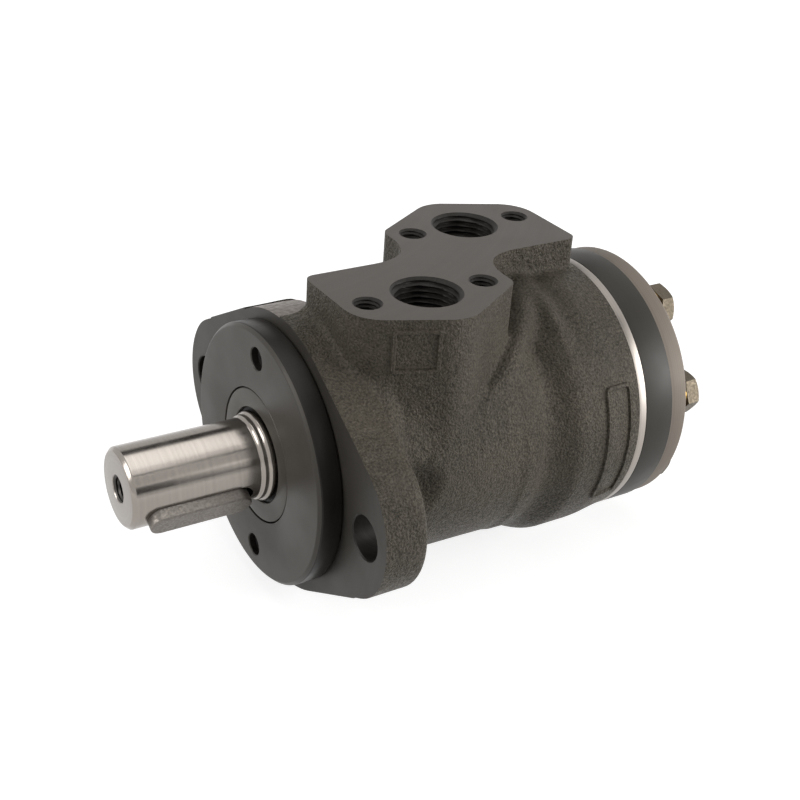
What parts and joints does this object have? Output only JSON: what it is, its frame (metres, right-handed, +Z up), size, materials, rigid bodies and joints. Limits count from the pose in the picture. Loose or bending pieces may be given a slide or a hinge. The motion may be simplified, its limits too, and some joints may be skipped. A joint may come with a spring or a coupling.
{
  "type": "orbital hydraulic motor",
  "caption": "Low-speed orbital hydraulic motor with a spool valve: oval flange, spigot, keyed shaft, side ports and a gear set bolted on at the rear.",
  "frame": {"origin": "on the motor axis, in the flange face that lies against the machine, midway between the two flange bolt holes", "axes": "+X along the output shaft and out of the motor, +Z up through the oil ports, +Y across the motor towards port A"},
  "size_m": [0.1879, 0.13, 0.1006],
  "materials": {
    "cast_iron": "rough sand casting, warm dark grey, with machined mounting faces",
    "machined_iron": "turned, dark, fine tool marks",
    "black_steel": "blackened socket screws",
    "seal_steel": "pressed sheet, brown grey",
    "rubber": "moulded, matt black",
    "spring_steel": "drawn wire",
    "bearing_steel": "hardened and ground",
    "shaft_steel": "hardened and ground, fine lines round the shaft",
    "key_steel": "drawn, matt",
    "drive_steel": "turned and hardened",
    "plate_steel": "turned edge, lapped faces",
    "ring_steel": "dark, smooth turned rim",
    "cover_steel": "turned, oiled grey brown",
    "bolt_steel": "hot forged, plated, yellow grey",
    "washer_brass": "yellow sealing washer",
    "copper": "soft copper sealing ring"
  },
  "bodies": {
    "motor_body": {"housing": "cast_iron", "front_cover": "machined_iron", "cover_screws": "black_steel", "dust_seal_case": "seal_steel", "dust_seal_lip": "rubber", "shaft_seal": "rubber", "seal_garter_spring": "spring_steel", "front_o_ring": "rubber", "thrust_race_front": "bearing_steel", "distributor_plate": "plate_steel", "housing_o_ring": "rubber", "plate_o_ring": "rubber", "ring_o_ring": "rubber", "gear_ring": "ring_steel", "end_cover": "cover_steel", "end_cover_bolts": "bolt_steel", "sealing_washers": "washer_brass", "drain_plug": "bolt_steel", "drain_washer": "copper"},
    "shaft": {"output_shaft": "shaft_steel", "shaft_key": "key_steel", "thrust_race_rear": "bearing_steel"},
    "needle_cage": {"thrust_cage": "drive_steel", "thrust_needles": "bearing_steel"},
    "star_orbit_carrier": {"cardan_spacer": "drive_steel"},
    "star": {"rotor_star": "drive_steel"},
    "cardan": {"cardan_shaft": "drive_steel"},
    "ball_a": {"check_ball_a": "bearing_steel"},
    "ball_b": {"check_ball_b": "bearing_steel"}
  },
  "joints": [
    {"name": "shaft_spin", "type": "hinge", "parent": "motor_body", "child": "shaft", "pos_m": [0, 0, 0], "axis": [1, 0, 0], "continuous": true},
    {"name": "needle_cage_spin", "type": "hinge", "parent": "motor_body", "child": "needle_cage", "pos_m": [0, 0, 0], "axis": [1, 0, 0], "continuous": true},
    {"name": "star_orbit", "type": "hinge", "parent": "motor_body", "child": "star_orbit_carrier", "pos_m": [-0.1155, 0, 0], "axis": [1, 0, 0], "continuous": true},
    {"name": "star_spin", "type": "hinge", "parent": "star_orbit_carrier", "child": "star", "pos_m": [-0.1155, 0, 0.0035], "axis": [1, 0, 0], "continuous": true},
    {"name": "cardan_spin", "type": "hinge", "parent": "star_orbit_carrier", "child": "cardan", "pos_m": [-0.038, 0, 0], "axis": [0.999, 0, -0.0457], "continuous": true},
    {"name": "check_a_lift", "type": "slide", "parent": "motor_body", "child": "ball_a", "axis": [1, 0, 0], "range_m": [0, 0.0015]},
    {"name": "check_b_lift", "type": "slide", "parent": "motor_body", "child": "ball_b", "axis": [1, 0, 0], "range_m": [0, 0.0015]}
  ],
  "couplings": [
    {"joint": "needle_cage_spin", "follows": "shaft_spin", "ratio": 0.5},
    {"joint": "star_orbit", "follows": "shaft_spin", "ratio": -6},
    {"joint": "star_spin", "follows": "shaft_spin", "ratio": 7},
    {"joint": "cardan_spin", "follows": "shaft_spin", "ratio": 7}
  ]
}
